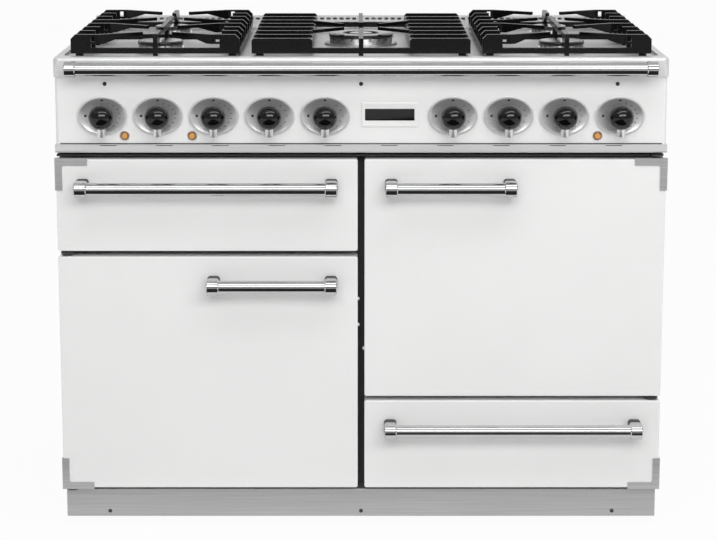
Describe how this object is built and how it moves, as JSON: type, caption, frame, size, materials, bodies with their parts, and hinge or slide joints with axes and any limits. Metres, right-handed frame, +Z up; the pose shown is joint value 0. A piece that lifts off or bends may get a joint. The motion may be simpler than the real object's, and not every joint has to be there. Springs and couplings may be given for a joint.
{
  "type": "gas range cooker",
  "caption": "Wide free-standing range cooker with a gas hob, cast pan supports, knobs on a panel, a grill drawer, side-hinged oven doors, a storage drawer and bar handles.",
  "frame": {"origin": "on the floor under the middle of the cooker's box", "axes": "+X to the right seen from the front, +Y to the back, +Z up; the fronts face -Y"},
  "size_m": [1.092, 0.648, 0.905],
  "materials": {
    "white_enamel": "gloss vitreous enamel",
    "charcoal_paint": "satin paint",
    "oven_enamel": "speckled gloss enamel",
    "stainless": "brushed",
    "satin_steel": "satin",
    "satin_alloy": "satin",
    "zinc_steel": "zinc coated sheet",
    "chrome": "polished",
    "black_cast": "gloss black enamel",
    "burner_alloy": "fine cast",
    "cap_enamel": "satin black enamel",
    "knob_black": "high gloss",
    "amber_lens": "translucent amber",
    "tap_brass": "machined",
    "pipe_alloy": "drawn tube",
    "foot_black": "matt"
  },
  "bodies": {
    "cabinet": {"base_tray": "zinc_steel", "side_panels": "charcoal_paint", "rear_panel": "zinc_steel", "front_frame": "charcoal_paint", "plinth": "satin_steel", "levelling_feet": "foot_black", "hob_tray": "stainless", "burner_bases": "burner_alloy", "burner_caps": "cap_enamel", "front_rail": "chrome", "control_panel": "white_enamel", "panel_trim": "stainless", "knob_bezels": "satin_alloy", "indicator_lamps": "amber_lens", "control_valves": "tap_brass", "gas_manifold": "pipe_alloy", "left_oven_liner": "oven_enamel", "right_oven_liner": "oven_enamel", "grill_housing": "oven_enamel", "grill_element": "charcoal_paint", "oven_racks": "chrome", "fan_covers": "oven_enamel", "fan_motors": "zinc_steel", "door_hinges": "charcoal_paint"},
    "left_door": {"left_door_panel": "white_enamel", "left_door_liner": "oven_enamel", "left_door_handle": "chrome", "left_door_corner": "satin_steel"},
    "right_door": {"right_door_panel": "white_enamel", "right_door_liner": "oven_enamel", "right_door_handle": "chrome", "right_door_corner": "satin_steel"},
    "grill_drawer": {"grill_front": "white_enamel", "grill_pan": "oven_enamel", "grill_trivet": "chrome", "grill_handle": "chrome", "grill_corner": "satin_steel"},
    "storage_drawer": {"drawer_front": "white_enamel", "drawer_box": "zinc_steel", "drawer_handle": "chrome", "drawer_corner": "satin_steel"},
    "support_left": {"pan_support_left": "black_cast"},
    "support_middle": {"pan_support_middle": "black_cast"},
    "support_right": {"pan_support_right": "black_cast"},
    "left_fan": {"left_oven_fan": "zinc_steel"},
    "right_fan": {"right_oven_fan": "zinc_steel"},
    "knob_1": {"knob_1": "knob_black"},
    "knob_2": {"knob_2": "knob_black"},
    "knob_3": {"knob_3": "knob_black"},
    "knob_4": {"knob_4": "knob_black"},
    "knob_5": {"knob_5": "knob_black"},
    "knob_6": {"knob_6": "knob_black"},
    "knob_7": {"knob_7": "knob_black"},
    "knob_8": {"knob_8": "knob_black"},
    "knob_9": {"knob_9": "knob_black"},
    "spindle_4": {"tap_spindle_4": "tap_brass"},
    "spindle_5": {"tap_spindle_5": "tap_brass"},
    "spindle_6": {"tap_spindle_6": "tap_brass"},
    "spindle_7": {"tap_spindle_7": "tap_brass"},
    "spindle_8": {"tap_spindle_8": "tap_brass"}
  },
  "joints": [
    {"name": "left_door_hinge", "type": "hinge", "parent": "cabinet", "child": "left_door", "pos_m": [-0.529, -0.264, 0.293], "axis": [0, 0, -1], "range_deg": [0, 105]},
    {"name": "right_door_hinge", "type": "hinge", "parent": "cabinet", "child": "right_door", "pos_m": [0.529, -0.264, 0.468], "axis": [0, 0, 1], "range_deg": [0, 105]},
    {"name": "grill_drawer_slide", "type": "slide", "parent": "cabinet", "child": "grill_drawer", "axis": [0, -1, 0], "range_m": [0, 0.28]},
    {"name": "storage_drawer_slide", "type": "slide", "parent": "cabinet", "child": "storage_drawer", "axis": [0, -1, 0], "range_m": [0, 0.33]},
    {"name": "support_left_lift", "type": "slide", "parent": "cabinet", "child": "support_left", "axis": [0, 0, 1], "range_m": [0, 0.12]},
    {"name": "support_middle_lift", "type": "slide", "parent": "cabinet", "child": "support_middle", "axis": [0, 0, 1], "range_m": [0, 0.12]},
    {"name": "support_right_lift", "type": "slide", "parent": "cabinet", "child": "support_right", "axis": [0, 0, 1], "range_m": [0, 0.12]},
    {"name": "left_fan_spin", "type": "hinge", "parent": "cabinet", "child": "left_fan", "pos_m": [-0.275, 0.16, 0.293], "axis": [0, 1, 0], "continuous": true},
    {"name": "right_fan_spin", "type": "hinge", "parent": "cabinet", "child": "right_fan", "pos_m": [0.275, 0.16, 0.468], "axis": [0, 1, 0], "continuous": true},
    {"name": "knob_1_turn", "type": "hinge", "parent": "cabinet", "child": "knob_1", "pos_m": [-0.46, -0.266, 0.763], "axis": [0, 1, 0], "range_deg": [0, 300]},
    {"name": "knob_2_turn", "type": "hinge", "parent": "cabinet", "child": "knob_2", "pos_m": [-0.361, -0.266, 0.763], "axis": [0, 1, 0], "range_deg": [0, 300]},
    {"name": "knob_3_turn", "type": "hinge", "parent": "cabinet", "child": "knob_3", "pos_m": [-0.262, -0.266, 0.763], "axis": [0, 1, 0], "range_deg": [0, 300]},
    {"name": "knob_4_turn", "type": "hinge", "parent": "cabinet", "child": "spindle_4", "pos_m": [-0.163, -0.266, 0.763], "axis": [0, -1, 0], "range_deg": [0, 270]},
    {"name": "knob_4_push", "type": "slide", "parent": "spindle_4", "child": "knob_4", "axis": [0, 1, 0], "range_m": [0, 0.0035], "stiffness_N_per_m": 900, "springref_m": -0.002},
    {"name": "knob_5_turn", "type": "hinge", "parent": "cabinet", "child": "spindle_5", "pos_m": [-0.064, -0.266, 0.763], "axis": [0, -1, 0], "range_deg": [0, 270]},
    {"name": "knob_5_push", "type": "slide", "parent": "spindle_5", "child": "knob_5", "axis": [0, 1, 0], "range_m": [0, 0.0035], "stiffness_N_per_m": 900, "springref_m": -0.002},
    {"name": "knob_6_turn", "type": "hinge", "parent": "cabinet", "child": "spindle_6", "pos_m": [0.163, -0.266, 0.763], "axis": [0, -1, 0], "range_deg": [0, 270]},
    {"name": "knob_6_push", "type": "slide", "parent": "spindle_6", "child": "knob_6", "axis": [0, 1, 0], "range_m": [0, 0.0035], "stiffness_N_per_m": 900, "springref_m": -0.002},
    {"name": "knob_7_turn", "type": "hinge", "parent": "cabinet", "child": "spindle_7", "pos_m": [0.262, -0.266, 0.763], "axis": [0, -1, 0], "range_deg": [0, 270]},
    {"name": "knob_7_push", "type": "slide", "parent": "spindle_7", "child": "knob_7", "axis": [0, 1, 0], "range_m": [0, 0.0035], "stiffness_N_per_m": 900, "springref_m": -0.002},
    {"name": "knob_8_turn", "type": "hinge", "parent": "cabinet", "child": "spindle_8", "pos_m": [0.361, -0.266, 0.763], "axis": [0, -1, 0], "range_deg": [0, 270]},
    {"name": "knob_8_push", "type": "slide", "parent": "spindle_8", "child": "knob_8", "axis": [0, 1, 0], "range_m": [0, 0.0035], "stiffness_N_per_m": 900, "springref_m": -0.002},
    {"name": "knob_9_turn", "type": "hinge", "parent": "cabinet", "child": "knob_9", "pos_m": [0.46, -0.266, 0.763], "axis": [0, 1, 0], "range_deg": [0, 300]}
  ]
}
